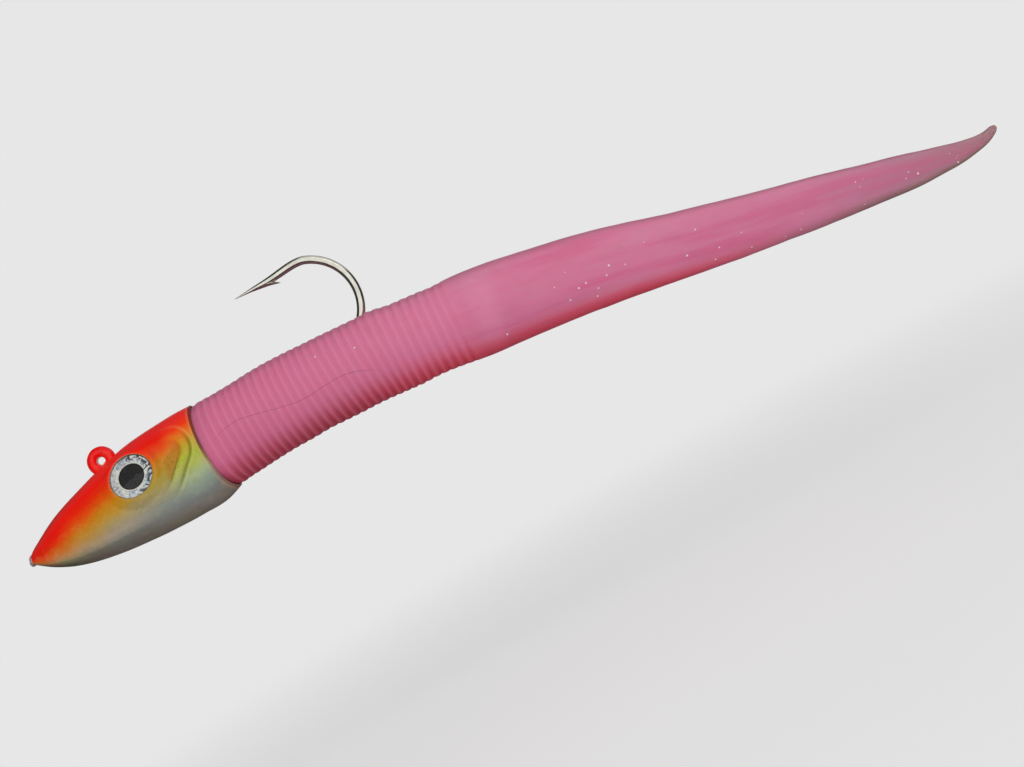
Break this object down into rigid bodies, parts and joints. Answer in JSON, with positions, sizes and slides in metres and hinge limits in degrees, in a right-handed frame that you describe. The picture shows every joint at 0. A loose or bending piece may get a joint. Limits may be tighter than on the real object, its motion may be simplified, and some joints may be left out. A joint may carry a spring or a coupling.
{
  "type": "rigged jig head with soft eel tail",
  "caption": "Pointed fish-shaped lead jig head with domed eyes, an upturned barbed hook and a long ribbed soft eel body whose tail flexes from side to side.",
  "frame": {"origin": "centre of the line-tie ring's hole", "axes": "+X along the hook's shank towards the tail, +Z towards the lure's back where the hook point is, +Y towards the lure's right side"},
  "size_m": [0.298, 0.023, 0.071],
  "materials": {
    "head_paint": "glossy red and orange fading to yellow-green and pearl grey below, clear coated",
    "hook_steel": "tinned, satin; the ring is painted red",
    "eye_foil": "holographic silver foil with a dark printed pupil",
    "eye_resin": "clear domed resin",
    "soft_plastic": "satin pink soft plastic with fine glitter, slightly translucent"
  },
  "bodies": {
    "root": {"head_casting": "head_paint", "jig_hook": "hook_steel", "left_eye_foil": "eye_foil", "left_eye_lens": "eye_resin", "right_eye_foil": "eye_foil", "right_eye_lens": "eye_resin", "soft_body_front": "soft_plastic"},
    "tail_base": {"soft_tail_base": "soft_plastic"},
    "tail_end": {"soft_tail_end": "soft_plastic"}
  },
  "joints": [
    {"name": "tail_flex", "type": "hinge", "parent": "root", "child": "tail_base", "pos_m": [0.097, 0, -0.01491], "axis": [0.1265, 0, 0.992], "range_deg": [-25, 25], "stiffness_Nm_per_rad": 0.06},
    {"name": "tail_sweep", "type": "hinge", "parent": "tail_base", "child": "tail_end", "pos_m": [0.16501, 0, -0.02703], "axis": [0.2493, 0, 0.9684], "range_deg": [-40, 40], "stiffness_Nm_per_rad": 0.012}
  ]
}
